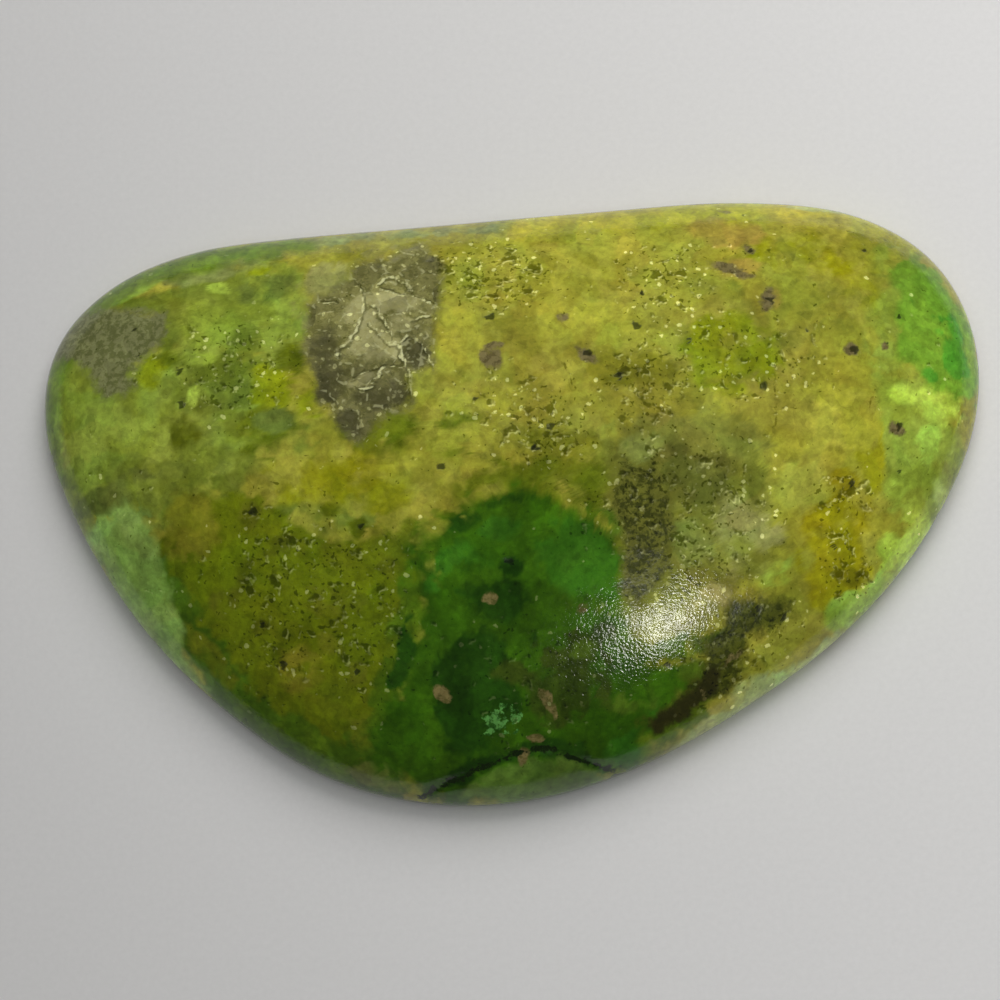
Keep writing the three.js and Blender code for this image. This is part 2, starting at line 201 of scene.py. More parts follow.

# Minerals, from the lowest layer to the top one, with a few rim bands of painted light and shade among them.
# The mesh carries the mixed colour of the first list, and each field of the second, whose borders the
# material draws. A layer lies in clouds, inside an outline of corners, or along a path of some width to
# either side.
BASE = (rgb(150, 149, 52), rgb(135, 135, 40))
LAYERS = [
    mineral("leaf", (135, 152, 56), (119, 134, 41), 0.3, 0.3, clouds=[
        (-258, 35, 35, 65), (-211, 24, 47, 47), (-170, 40, 35, 47, 0.9), (-162, 109, 35, 29, 0.8),
        (242, 5, 26, 65, 1, 20), (-133, 95, 14, 38, 0.9), (-173, 109, 35, 12, 0.6, 10),
        (226, 110, 24, 47, 0.7), (49, 16, 18, 15, 0.5),
    ]),
    mineral("meadow", (112, 127, 42), (100, 114, 30), 0.25, 0.4, clouds=[
        (-199, 90, 9, 14, 0.9), (-162, 57, 32, 18, 0.9, 20), (-157, 76, 11, 11), (-127, 20, 24, 12, 0.6),
        (-203, 111, 26, 8, 0.8, 8), (-184, -12, 29, 21, 0.8), (-223, 8, 12, 7, 0.9),
        (-265, -4, 9, 24, 0.5, -25), (-109, -26, 35, 12, 0.5), (27, -4, 29, 8, 0.9, -10),
        (132, 116, 12, 8, 0.3),
    ]),
    mineral("olive", (100, 114, 10), (85, 100, 6), 0.3, 0.4, outline=[
        (-210, -39), (-178, -12), (-143, -14), (-120, -26), (-97, -40), (-78, -32), (-47, -39), (-46, -72),
        (-53, -100), (-63, -122), (-70, -144), (-99, -160), (-140, -143), (-163, -115), (-177, -93),
        (-199, -69),
    ]),
    mineral("olive_light", (96, 108, 12), (86, 99, 6), 0.25, 0.4, clouds=[
        (-82, -69, 26, 12, 0.9), (-86, -82, 20, 9, 0.6), (-94, -49, 24, 8, 0.5), (-120, -59, 15, 7, 0.6),
        (-62, -66, 7, 20, 0.9, -4), (-103, -120, 24, 14, 0.5, -20), (-149, -61, 18, 12, 0.4),
        (-120, -87, 18, 9, 0.4),
    ]),
    mineral("olive_dark", (94, 102, 17), (83, 93, 8), 0.25, 0.4, clouds=[
        (-149, -24, 7, 8), (-89, -30, 5, 7), (-103, -19, 5, 4, 1, -30), (-72, -16, 7, 4, 0.9),
        (-151, -53, 4, 8, 0.9, -20), (-103, -71, 24, 8, 0.5), (-126, -40, 29, 6, 0.5), (-143, -85, 5, 5),
        (-130, -103, 5, 5), (-89, -110, 5, 6, 0.9), (-103, -95, 8, 5, 0.6), (-164, -68, 9, 12, 0.5),
    ]),
    mineral("brown", (120, 121, 28), (106, 109, 20), 0.3, 0.4, clouds=[
        (56, 62, 12, 11, 0.9), (-183, -26, 16, 21, 0.9, -10), (-120, -108, 14, 11, 0.5),
        (27, 16, 24, 16, 0.8), (79, 62, 15, 9, 0.8), (44, 2, 12, 6, 0.5), (-66, -41, 18, 7, 0.2),
    ]),
    mineral("dark_green", (72, 103, 18), (60, 89, 10), 0.3, 0.45, outline=[
        (-202, -44), (-190, -61), (-167, -86), (-154, -108), (-134, -133), (-100, -149), (-82, -139),
        (-74, -120), (-63, -99), (-64, -179), (-103, -180), (-143, -155), (-171, -127), (-186, -102),
        (-193, -77),
    ]),
    mineral("moss", (81, 110, 16), (69, 97, 11), 0.25, 0.45, clouds=[
        (-159, -117, 12, 8, 0.8, -40), (-121, -143, 15, 7, 0.8, -25), (-96, -162, 12, 5, 0.7, -15),
        (-179, -89, 6, 9, 0.5, -20), (-86, -144, 9, 5, 0.6),
    ]),
    mineral("shade", (102, 112, 19), (85, 98, 12), 0.35, 0.5, clouds=[
        (-140, 27, 20, 16, 0.8), (-187, 26, 12, 10, 0.5), (-35, 14, 13, 7, 0.7), (-13, -9, 10, 8, 0.9),
        (-66, -93, 8, 35, 1, -14), (-79, -134, 9, 18, 1, -20), (-172, -98, 7, 24, 0.9, 35),
        (-75, 22, 18, 15), (-128, 69, 11, 11, 0.8), (-66, -41, 20, 14, 0.9), (-72, 11, 16, 8, 0.5),
        (-36, 31, 20, 7, 0.4), (2, -13, 22, 16, 0.8), (27, -12, 35, 20, 0.9), (49, -15, 20, 18, 0.8),
        (61, -38, 12, 35), (77, -58, 12, 9, 0.8), (-144, 33, 11, 8, 0.7), (-197, 70, 9, 7, 0.6),
        (2, -27, 42, 30, 0.6), (79, -152, 24, 8, 0.9, 24), (78, -92, 26, 14, 0.9), (106, -91, 12, 9, 0.7),
    ]),
    mineral("mid_green", (86, 113, 16), (68, 95, 10), 0.35, 0.5, clouds=[
        (-53, -61, 9, 26, 1, -8), (-50, -83, 11, 35, 1, -6), (-57, -94, 8, 26, 1, -10),
        (-71, -122, 8, 19, 1, -16), (49, -77, 35, 35, 0.8), (95, -124, 26, 15, 1, 35),
        (73, -143, 24, 11, 0.9, 30), (-50, -69, 12, 41, 1, -6), (-68, -104, 9, 42, 0.9, -16),
    ]),
    mineral("lime", (140, 152, 24), (127, 139, 14), 0.25, 0.4, clouds=[
        (-139, 54, 13, 13), (-150, 131, 8, 6, 1, 30), (-128, 88, 8, 12, 0.5), (127, 71, 26, 24, 0.8),
        (108, 80, 15, 12, 0.5), (-116, 44, 9, 13, 0.5), (-209, 63, 12, 12, 0.5),
    ]),
    mineral("chartreuse", (143, 144, 23), (129, 132, 12), 0.3, 0.35, clouds=[
        (206, 19, 8, 21, 0.9), (130, 73, 15, 13, 0.5), (-83, -4, 26, 16, 0.7, -10), (-120, -3, 24, 14, 0.5),
        (168, 140, 35, 18, 0.4), (203, 121, 14, 20, 0.5),
    ]),
    mineral("bright_lime", (137, 155, 52), (126, 142, 43), 0.15, 0.3, outline=[
        (-188, 99), (-182, 104), (-169, 105), (-167, 99), (-160, 98), (-160, 92), (-166, 89), (-168, 83),
        (-177, 75), (-185, 80), (-190, 89),
    ]),
    mineral("pale", (165, 190, 70), (152, 175, 57), 0.25, 0.35, clouds=[
        (252, 49, 15, 13, 1, -10), (226, 54, 8, 7, 0.7), (269, 119, 6, 21, 0.6, 10),
        (224, -8, 12, 26, 0.25, 14), (238, -27, 12, 20, 0.9, 25), (220, -42, 9, 15, 0.8, 20),
        (201, -65, 11, 8, 0.7, 30), (-183, 47, 4, 5), (-172, 116, 5, 4, 0.9), (-177, 70, 6, 5, 0.6),
        (-142, 74, 9, 4, 0.4), (158, 19, 12, 8, 0.3), (249, 149, 18, 7, 0.5, -35),
    ]),
    mineral("yellow", (156, 156, 51), (146, 146, 44), 0.2, 0.3, clouds=[
        (10, 151, 33, 8, 0.8, 2), (98, 106, 14, 7, 0.8), (201, 31, 11, 14, 0.9), (-32, 81, 13, 19),
        (31, 91, 16, 16, 0.9), (156, 21, 12, 10), (165, 50, 24, 13, 0.5), (56, 93, 17, 14, 0.9),
        (-7, 43, 18, 8, 0.6), (-24, 19, 24, 9, 0.5, 10), (101, 43, 24, 8, 0.5), (38, 49, 14, 9, 0.6),
        (-64, 5, 24, 11, 0.5), (183, 88, 12, 18, 0.5),
    ]),
    mineral("orange", (162, 142, 59), (150, 132, 51), 0.3, 0.35, clouds=[
        (123, 154, 25, 11, 0.9), (132, 127, 18, 7, 0.7, -10), (149, 106, 6, 14, 0.4), (87, 161, 24, 5, 0.4),
    ]),
    mineral("ochre", (147, 143, 17), (128, 125, 10), 0.25, 0.4, clouds=[
        (186, -36, 18, 29, 0.9, 6), (180, -61, 11, 15, 0.9), (193, -10, 11, 14, 0.5),
        (164, -45, 5, 12, 0.4), (205, -21, 8, 15, 0.4),
    ]),
    mineral("ochre_dark", (133, 126, 17), (115, 110, 11), 0.4, 0.6, clouds=[
        (182, -42, 6, 7, 0.8), (193, -52, 7, 5, 0.8), (177, -28, 5, 5, 0.7), (191, 2, 9, 7, 0.7),
        (186, -6, 5, 5, 0.7), (203, -34, 4, 5, 0.6),
    ]),
    mineral("sage", (161, 165, 62), (145, 153, 52), 0.25, 0.35, outline=[
        (145, 6), (158, 10), (171, 9), (177, 1), (179, -11), (167, -16), (156, -16), (147, -8),
    ]),
    mineral("sage_top", (132, 142, 74), (120, 130, 64), 0.3, 0.35, clouds=[
        (-175, 129, 35, 7, 0.8, 12), (-108, 153, 41, 5, 0.8, 6), (-31, 157, 47, 4, 0.6, 3),
        (-113, 140, 12, 8, 0.4),
    ]),
    mineral("moss_grey", (103, 116, 45), (93, 107, 40), 0.25, 0.3, clouds=[
        (-144, 115, 19, 11, 0.8), (-235, -8, 19, 8, 1, 4), (-135, 31, 12, 8, 1, -10), (-214, 3, 14, 5, 0.4),
        (-73, -166, 20, 6, 0.9, -14),
    ]),
    mineral("jade", (138, 172, 82), (120, 152, 66), 0.35, 0.3, outline=[
        (-241, -16), (-231, -15), (-220, -9), (-207, -24), (-200, -54), (-190, -79), (-183, -99),
        (-178, -117), (-188, -116), (-209, -93), (-234, -57), (-252, -27),
    ]),
    mineral("bright", (118, 159, 46), (105, 144, 38), 0.3, 0.4, outline=[
        (219, 129), (232, 139), (246, 135), (259, 121), (267, 106), (276, 92), (279, 72), (272, 55),
        (259, 51), (247, 58), (238, 68), (228, 79), (223, 93), (226, 110),
    ]),
    mineral("bright_more", (152, 184, 70), (134, 165, 54), 0.25, 0.4, clouds=[
        (-229, 117, 18, 6, 1, 22), (243, 25, 8, 12, 0.9), (194, -71, 16, 8, 0.9, 32),
        (217, -54, 13, 7, 0.6, 45), (-267, 37, 5, 41, 0.7), (221, -90, 18, 5, 0.5, 40),
        (249, 7, 7, 18, 0.4, 15), (152, -54, 8, 15, 0.25), (141, -60, 8, 8, 0.2),
    ]),
    mineral("vivid_right", (80, 143, 38), (68, 128, 31), 0.2, 0.45, clouds=[
        (259, 86, 8, 20, 1, 8), (248, 97, 6, 8, 0.6), (236, 111, 8, 5, 0.4), (243, 67, 4, 5, 0.7),
    ]),
    mineral("olive_grey", (122, 125, 48), (105, 107, 34), 0.5, 0.6, outline=[
        (53, 19), (72, 32), (107, 38), (136, 32), (145, 14), (146, -13), (153, -35), (136, -58), (129, -74),
        (106, -91), (83, -98), (63, -76), (58, -49), (55, -15),
    ]),
    mineral("dun", (103, 102, 40), (84, 86, 30), 0.5, 0.4, outline=[
        (81, 15), (95, 20), (113, 12), (121, 7), (121, 0), (121, -17), (106, -21), (94, -15), (86, -3),
    ]),
    mineral("light_grey", (147, 145, 80), (133, 133, 70), 0.25, 0.4, clouds=[
        (-109, 124, 15, 12, 0.8, 40), (-123, 99, 9, 20, 0.5), (-69, 143, 26, 6, 0.5),
        (125, -33, 12, 26, 0.6, 4), (143, -29, 12, 13, 0.6), (118, -69, 14, 8, 0.6), (106, 3, 6, 5, 0.4),
        (100, -78, 8, 6, 0.4),
    ]),
    mineral("grey_green", (124, 131, 59), (108, 119, 47), 0.25, 0.4, clouds=[
        (101, -40, 14, 14, 0.8), (72, 16, 14, 8, 0.5), (107, 29, 12, 5, 0.3),
    ]),
    mineral("emerald", (57, 96, 8), (45, 79, 4), 0.5, 0.5, outline=[
        (-37, -32), (-24, -19), (-14, -10), (10, -8), (20, -16), (35, -18), (49, -27), (62, -41), (63, -65),
        (56, -77), (63, -95), (83, -103), (106, -99), (114, -108), (107, -118), (81, -138), (73, -148),
        (64, -167), (27, -173), (-19, -179), (-53, -178), (-73, -163), (-77, -142), (-68, -120),
        (-63, -104), (-55, -91), (-49, -78), (-50, -66), (-59, -58), (-58, -41), (-49, -39), (-43, -49),
    ]),
    mineral("vivid", (56, 104, 18), (45, 90, 12), 0.25, 0.4, clouds=[
        (39, -49, 24, 20, 1, -20), (-24, -50, 13, 11, 0.7), (-7, -33, 13, 7, 0.7),
        (-42, -56, 7, 13, 0.9, -15), (27, -33, 12, 8, 0.5), (87, -127, 14, 13, 0.5),
        (61, -151, 18, 6, 0.6, 30), (-7, -145, 12, 8, 0.4),
    ]),
    mineral("deep", (36, 72, 8), (26, 57, 4), 0.25, 0.45, clouds=[
        (-21, -121, 24, 35), (-7, -72, 16, 13, 0.8), (0, -51, 7, 6, 1, -20), (-14, -16, 8, 6, 0.5),
        (4, -13, 13, 5, 0.4), (-28, -29, 9, 5, 0.8, 30), (-32, -63, 8, 8, 0.5), (-60, -93, 6, 13, 0.9, -12),
        (-67, -112, 5, 8, 0.9), (-43, -114, 5, 5), (16, -153, 24, 5), (-18, -161, 18, 5, 0.9, 25),
        (18, -93, 8, 12, 0.5), (52, -41, 3, 8, 0.5), (44, -160, 20, 4, 0.8, -20),
    ]),
    mineral("earth", (57, 75, 14), (43, 59, 7), 0.25, 0.5, clouds=[
        (30, -111, 22, 19, 0.9), (49, -93, 12, 9, 0.6), (21, -129, 9, 12, 0.8, 20), (1, -111, 13, 7, 0.8),
        (49, -133, 12, 8, 0.5), (72, -97, 12, 5, 0.4),
    ]),
    mineral("moss_low", (76, 101, 21), (64, 87, 14), 0.25, 0.4, clouds=[
        (56, -30, 8, 8, 0.8), (97, -95, 22, 8, 1, 15), (126, -92, 10, 9, 0.6), (70, -125, 18, 8, 0.5, 20),
        (101, -109, 11, 7, 0.8, 30), (41, -99, 8, 6, 0.5), (27, -77, 8, 6, 0.3),
    ]),
    mineral("rim_green", (91, 121, 42), (77, 105, 34), 0.25, 0.3, outline=[
        (-24, -175), (-18, -164), (-7, -160), (10, -156), (27, -157), (44, -161), (57, -165), (50, -175),
        (16, -183),
    ]),
    # Painted reflection: a pale band along the lower right rim, the card's light reflected in the steep edge
    mineral("rim_painted_reflection", (163, 180, 103), (142, 160, 84), 0.3, 0.35, clouds=[
        (119, -135, 35, 6, 0.9, 32), (158, -109, 24, 8, 0.8, 32), (184, -92, 14, 6, 1, 36),
        (133, -116, 12, 7, 0.7, 30), (85, -156, 18, 4, 0.5, 28),
    ]),
    # Painted shade: a darker band along the upper left rim
    mineral("rim_painted_shade", (97, 123, 16), (85, 108, 10), 0.5, 0.3, width=0.9, path=[
        (-272, 7), (-276, 41), (-270, 68), (-259, 94), (-241, 114), (-215, 132), (-176, 141), (-126, 148),
    ]),
    # Painted light: a lighter band along the top rim
    mineral("rim_painted_light", (169, 165, 36), (158, 156, 24), 0.5, 0.3, width=0.9, path=[
        (4, 160), (52, 164), (100, 168), (148, 173), (203, 174), (241, 156),
    ]),
    # Painted glow: pale strips along the right and top edges, as light coming through the thin edge
    mineral("rim_painted_glow", (164, 180, 95), (152, 168, 80), 0.3, 0.3, clouds=[
        (277, 13, 5, 50, 0.9), (208, 172, 71, 4, 0.5, -6), (259, -18, 6, 35, 0.5, 25),
    ]),
]
CRISP_LAYERS = [
    mineral("grey", (122, 125, 80), (86, 90, 50), 0.4, 0.6, outline=[
        (-274, 80), (-272, 91), (-265, 102), (-253, 109), (-235, 107), (-216, 103), (-204, 101), (-201, 91),
        (-205, 81), (-213, 72), (-219, 68), (-220, 56), (-226, 49), (-237, 49), (-243, 56), (-247, 68),
        (-254, 75), (-265, 80),
    ]),
    mineral("umber", (104, 106, 33), (53, 57, 9), 0.5, 0.9, outline=[
        (57, -3), (66, 7), (81, 7), (88, -2), (90, -15), (92, -31), (88, -48), (83, -65), (72, -74),
        (62, -69), (61, -49), (63, -32), (58, -18),
    ]),
    mineral("low_umber", (86, 92, 21), (50, 56, 6), 0.5, 0.7, outline=[
        (126, -69), (141, -66), (155, -68), (160, -75), (150, -83), (136, -87), (134, -99), (126, -116),
        (111, -123), (96, -133), (81, -141), (74, -138), (92, -125), (104, -113), (109, -100), (106, -91),
        (118, -86), (122, -77),
    ]),
    mineral("streak", (50, 50, 12), (40, 40, 8), 0.25, 0.35, width=0.5, path=[
        (81, -139), (95, -130), (107, -121), (115, -108),
    ]),
    mineral("crackled", (123, 121, 69), (90, 89, 46), 0.45, 0.6, outline=[
        (-94, 134), (-86, 138), (-74, 140), (-66, 146), (-51, 150), (-40, 132), (-42, 114), (-44, 102),
        (-46, 87), (-45, 63), (-57, 59), (-57, 48), (-58, 38), (-67, 34), (-76, 29), (-85, 17), (-91, 21),
        (-99, 31), (-108, 46), (-112, 61), (-120, 75), (-122, 91), (-120, 106), (-112, 114), (-103, 118),
        (-96, 125),
    ]),
    mineral("crackled_light", (152, 149, 99), (134, 131, 82), 0.3, 0.5, clouds=[
        (-84, 100, 12, 14, 0.9), (-68, 107, 14, 8, 0.8, -20), (-81, 78, 15, 11, 0.7),
        (-86, 54, 8, 5, 0.9, 25), (-62, 90, 7, 5, 0.6), (-69, 73, 5, 7, 0.6),
    ]),
    mineral("crackled_dark", (82, 80, 46), (66, 65, 34), 0.5, 0.6, clouds=[
        (-105, 53, 9, 12, 1, 10), (-92, 29, 8, 8, 0.9), (-73, 45, 16, 8, 0.9), (-56, 70, 8, 8, 0.9),
        (-46, 133, 5, 5, 0.4), (-109, 77, 9, 13, 0.8), (-66, 134, 15, 6, 0.2), (-92, 61, 6, 5, 0.4),
    ]),
    mineral("inclusion", (122, 112, 70), (86, 78, 44), 0.4, 0.8, clouds=[
        (-14, 69, 4, 8, 1, 25), (-11, 76, 5, 3, 0.9), (43, 70, 8, 4, 1, -25), (30, 95, 4, 3, 0.8),
        (122, 128, 9, 4, 0.9, -5), (133, 124, 7, 3, 0.9, -25), (139, 141, 3, 5, 0.8),
        (147, 107, 4, 7, 1, -10), (195, 76, 5, 4), (216, 81, 3, 3), (222, 33, 5, 4, 0.9),
        (126, 170, 5, 2, 0.7),
    ]),
    # A speckled cluster whose bright specks are a painted sparkle
    mineral("painted_sparkle", (41, 84, 23), (86, 142, 66), 0.12, 2.2, clouds=[
        (-7, -137, 12, 9, 0.5),
    ]),
    mineral("tan", (124, 112, 66), (80, 76, 36), 0.3, 0.8, clouds=[
        (-13, -71, 4, 4, 0.9), (40, -78, 4, 4, 0.8), (-41, -122, 5, 4, 1, -25), (19, -126, 3, 7, 0.8, 25),
        (23, -134, 2, 4, 0.7), (8, -155, 4, 4), (12, -146, 5, 2, 0.8, -15), (123, -100, 2, 4, 0.8, -20),
        (129, -97, 2, 4, 0.8, -50), (110, -119, 2, 5, 0.7, 30),
    ]),
]


def noise(x, y, size, seed):
    """Smooth noise between -1 and 1, with lumps about `size` across."""
    table = np.random.default_rng(seed).uniform(-1, 1, (256, 256))
    column, row = np.floor(x / size).astype(int), np.floor(y / size).astype(int)
    across, down = x / size - column, y / size - row
    across, down = across * across * (3 - 2 * across), down * down * (3 - 2 * down)
    corner = lambda i, j: table[(column + i) % 256, (row + j) % 256]
    near = corner(0, 0) * (1 - across) + corner(1, 0) * across
    far = corner(0, 1) * (1 - across) + corner(1, 1) * across
    return near * (1 - down) + far * down


def rough_noise(x, y, size, seed, octaves=4, fade=0.62):
    """Noise with ever finer lumps, mostly between -1 and 1."""
    total = np.zeros_like(x)
    for octave in range(octaves):
        turn = seed + 0.7 * octave
        across, down = x * math.cos(turn) - y * math.sin(turn), x * math.sin(turn) + y * math.cos(turn)
        total += fade ** octave * noise(across, down, size / 2 ** octave, seed + octave)
    return total


def plates(x, y, size, seed):
    """A random value between -1 and 1 for each of many angular plates about `size` across."""
    table = np.random.default_rng(seed).uniform(0, 1, (64, 64, 3))
    column, row = np.floor(x / size).astype(int), np.floor(y / size).astype(int)
    nearest, value = np.full_like(x, np.inf), np.zeros_like(x)
    for i in (-1, 0, 1):
        for j in (-1, 0, 1):
            cell = table[(column + i) % 64, (row + j) % 64]
            away = np.hypot(x / size - column - i - cell[:, 0], y / size - row - j - cell[:, 1])
            value = np.where(away < nearest, cell[:, 2], value)
            nearest = np.minimum(nearest, away)
    return 2 * value - 1


def smooth(share):
    """Eases a share from 0 to 1, and holds it there outside."""
    share = np.clip(share, 0, 1)
    return share * share * (3 - 2 * share)


def clouds_at(clouds, x, y):
    """How strongly a list of soft ellipses covers each point, from 0 to 1."""
    bare = np.ones_like(x)
    for middle_x, middle_y, half_length, half_width, *rest in clouds:
        strength, turn = rest + [1, 0][len(rest):]
        cosine, sine = math.cos(math.radians(turn)), math.sin(math.radians(turn))
        along = (x - middle_x) * cosine + (y - middle_y) * sine
        across = (y - middle_y) * cosine - (x - middle_x) * sine
        reach = np.hypot(along / half_length, across / half_width)
        bare *= 1 - strength * smooth(1.5 - reach)
    return 1 - bare


def distance_to_path(path, x, y):
    """Distance to the nearest point of a line of straight stretches."""
    nearest = np.full_like(x, np.inf)
    for (from_x, from_y), (to_x, to_y) in zip(path[:-1], path[1:]):
        run_x, run_y = to_x - from_x, to_y - from_y
        along = np.clip(((x - from_x) * run_x + (y - from_y) * run_y) / (run_x ** 2 + run_y ** 2), 0, 1)
        nearest = np.minimum(nearest, np.hypot(x - from_x - along * run_x, y - from_y - along * run_y))
    return nearest


def side_of_path(path, x, y):
    """Distance to a line of straight stretches, positive on the left of its run and negative on the right."""
    nearest, side = np.full_like(x, np.inf), np.ones_like(x)
    for (from_x, from_y), (to_x, to_y) in zip(path[:-1], path[1:]):
        away = distance_to_path([(from_x, from_y), (to_x, to_y)], x, y)
        left = (to_x - from_x) * (y - from_y) > (to_y - from_y) * (x - from_x)
        side = np.where(away < nearest, np.where(left, 1, -1), side)
        nearest = np.minimum(nearest, away)
    return nearest * side


def depth_in_outline(corners, x, y):
    """Distance to an outline's border, positive inside it and negative outside."""
    inside = np.zeros(x.shape, bool)
    closed = corners + corners[:1]
    for (from_x, from_y), (to_x, to_y) in zip(closed[:-1], closed[1:]):
        if from_y == to_y:
            continue
        crosses = (from_y > y) != (to_y > y)
        inside ^= crosses & (x < from_x + (y - from_y) * (to_x - from_x) / (to_y - from_y))
    return distance_to_path(closed, x, y) * np.where(inside, 1, -1)


def rim_outline():
    """The stone's outline, evenly spaced, from the top of the solid's bevel."""
    places = np.array([vertex.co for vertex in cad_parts[NODE].data.vertices]) / MM
    ring = places[np.abs(places[:, 2] - BACK_BEVEL) < 0.01][:, :2]
    ring = np.unique(ring.round(3), axis=0)
    ring = ring[np.argsort(np.arctan2(ring[:, 1], ring[:, 0]))]
    before, after, second = np.roll(ring, 1, 0), np.roll(ring, -1, 0), np.roll(ring, -2, 0)
    fine = []
    for share in np.arange(16) / 16:
        fine.append(0.5 * (2 * ring + (after - before) * share
                           + (2 * before - 5 * ring + 4 * after - second) * share ** 2
                           + (3 * ring - before - 3 * after + second) * share ** 3))
    fine = np.stack(fine, 1).reshape(-1, 2)
    fine = np.vstack([fine, fine[:1]])
    length = np.concatenate([[0], np.cumsum(np.hypot(*np.diff(fine, axis=0).T))])
    at = np.arange(RIM_POINTS) / RIM_POINTS * length[-1]
    return np.stack([np.interp(at, length, fine[:, axis]) for axis in (0, 1)], 1)


def depth_inside(rim, x, y):
    """How deep inside the outline each point lies, as in the solid: pi over the rim's integral of 1 / r^2."""
    start, end = rim[::2], np.roll(rim[::2], -1, 0)
    length = np.hypot(*(end - start).T)
    depth = np.empty_like(x)
    for part in np.array_split(np.arange(len(x)), max(1, len(x) // 4000)):
        ax, ay = start[:, 0] - x[part, None], start[:, 1] - y[part, None]
        bx, by = end[:, 0] - x[part, None], end[:, 1] - y[part, None]
        cross, dot = ax * by - ay * bx, ax * bx + ay * by
        flat = np.abs(cross) < 1e-9
        turned = length * np.arctan2(cross, dot) / np.where(flat, 1, cross)
        share = np.where(flat, length / np.where(flat, dot, 1), turned)
        depth[part] = np.pi / share.sum(1)
    return depth


def grid_plan(rim, cells, crowding):
    """Corners of a square grid spread over the outline, row by row, and which of them lie on the rim."""
    a, b = np.meshgrid(np.linspace(-1, 1, cells + 1), np.linspace(-1, 1, cells + 1))
    wide = np.abs(a) > np.abs(b)
    radius = np.where(wide, a, b)
    other = np.where(wide, b, a) / np.where(radius == 0, 1, radius)
    angle = np.where(wide, math.pi / 4 * other, math.pi / 2 - math.pi / 4 * other) + math.pi * (radius < 0)
    radius = np.abs(radius)
    at = (angle / (2 * math.pi) % 1) * len(rim)
    first = np.floor(at + 1e-6).astype(int)
    share = np.clip(at - first, 0, 1)[..., None]
    edge = rim[first % len(rim)] * (1 - share) + rim[(first + 1) % len(rim)] * share
    reach = radius * (1 - crowding) + np.sin(radius * math.pi / 2) * crowding
    plan = edge * reach[..., None]
    return plan.reshape(-1, 2), (radius > 1 - 1e-9).ravel()


def grid_border(cells):
    """The grid corners round its border, anticlockwise from its lower right corner."""
    index = lambda column, row: row * (cells + 1) + column
    steps = range(cells)
    return ([index(cells, i) for i in steps] + [index(cells - i, cells) for i in steps]
            + [index(0, cells - i) for i in steps] + [index(i, 0) for i in steps])


def grid_quads(cells, first, upwards):
    """The grid's faces, four corners each, seen from above or from below."""
    column, row = np.meshgrid(np.arange(cells), np.arange(cells))
    corner = (row * (cells + 1) + column).ravel() + first
    quads = np.stack([corner, corner + 1, corner + cells + 2, corner + cells + 1], 1)
    return quads if upwards else quads[:, ::-1]


def layer_field(layer, x, y):
    """One mineral's field: the strength of its clouds, else the depth inside its border."""
    if "clouds" in layer:
        return clouds_at(layer["clouds"], x, y)
    if "path" in layer:
        return layer["width"] - distance_to_path(layer["path"], x, y)
    return depth_in_outline(layer["outline"], x, y)


def sink_pits(pits, x, y, seed):
    """How far each point lies in a pit, from 0 to 1, and the depth there."""
    share, depth = np.zeros_like(x), np.zeros_like(x)
    random = np.random.default_rng(seed)
    order = np.argsort(x)
    sorted_x = x[order]
    for pit_x, pit_y, radius in pits:
        turn, long = random.uniform(0, math.pi), random.uniform(0.8, 1.45)
        wobble, phase = random.uniform(0.05, 0.25), random.uniform(0, 6, 2)
        first, last = np.searchsorted(sorted_x, [pit_x - 3 * radius, pit_x + 3 * radius])
        near = order[first:last]
        near = near[np.abs(y[near] - pit_y) < 3 * radius]
        if not len(near):
            continue
        dx, dy = x[near] - pit_x, y[near] - pit_y
        along = dx * math.cos(turn) + dy * math.sin(turn)
        across = dy * math.cos(turn) - dx * math.sin(turn)
        angle = np.arctan2(across, along)
        reach = np.hypot(along / long, across) / radius
        reach *= 1 + wobble * np.sin(2 * angle + phase[0]) + wobble * np.sin(3 * angle + phase[1])
        inside = smooth((1.1 - reach) / 0.5)
        share[near] = np.maximum(share[near], inside)
        depth[near] = np.maximum(depth[near], PIT_DEPTH * radius * smooth((1.15 - reach) / 0.8))
    return share, depth


